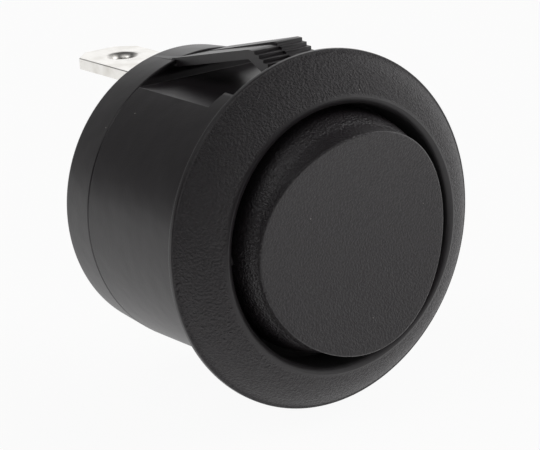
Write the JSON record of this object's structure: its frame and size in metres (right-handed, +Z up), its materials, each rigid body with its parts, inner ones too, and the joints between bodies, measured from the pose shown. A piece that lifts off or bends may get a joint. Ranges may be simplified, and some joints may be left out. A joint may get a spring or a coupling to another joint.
{
  "type": "panel rocker switch",
  "caption": "Round snap-in rocker switch with a concave rocker in a domed bezel, serrated snap arms on the barrel and tab terminals behind.",
  "frame": {"origin": "centre of the bezel's back face, where it seats on the panel, on the barrel's axis", "axes": "+Y along the barrel from the panel towards the terminals, so the user presses the rocker from -Y; +Z up through the snap arm beside the load terminal; +X to the right as the user sees it, along the rocking axis"},
  "size_m": [0.023, 0.0299, 0.023],
  "materials": {
    "housing_nylon": "black moulded nylon, spark-textured bezel face, smooth barrel",
    "rocker_nylon": "black moulded nylon, fine satin face",
    "plunger_acetal": "natural moulded acetal",
    "spring_steel": "drawn spring wire",
    "contact_copper": "stamped copper alloy",
    "contact_silver": "silver alloy rivet",
    "terminal_brass": "brass, stamped and bright tin plated"
  },
  "bodies": {
    "housing": {"housing": "housing_nylon", "common_terminal": "terminal_brass", "load_terminal": "terminal_brass", "fixed_contact": "contact_silver"},
    "rocker": {"rocker": "rocker_nylon", "plunger_spring": "spring_steel"},
    "plunger": {"plunger": "plunger_acetal"},
    "seesaw": {"seesaw": "contact_copper", "moving_contact": "contact_silver"}
  },
  "joints": [
    {"name": "rocker_tilt", "type": "hinge", "parent": "housing", "child": "rocker", "pos_m": [0, -0.0011, 0], "axis": [1, 0, 0], "range_deg": [-5, 0]},
    {"name": "seesaw_tilt", "type": "hinge", "parent": "housing", "child": "seesaw", "pos_m": [0, 0.01058, 0], "axis": [1, 0, 0], "range_deg": [0, 16]},
    {"name": "plunger_slide", "type": "slide", "parent": "rocker", "child": "plunger", "axis": [0, 0.999, 0.0436], "range_m": [-0.0006, 0], "stiffness_N_per_m": 400, "springref_m": 0.003, "deforming": ["plunger_spring"]}
  ],
  "couplings": [
    {"joint": "seesaw_tilt", "follows": "rocker_tilt", "ratio": -3.2}
  ]
}
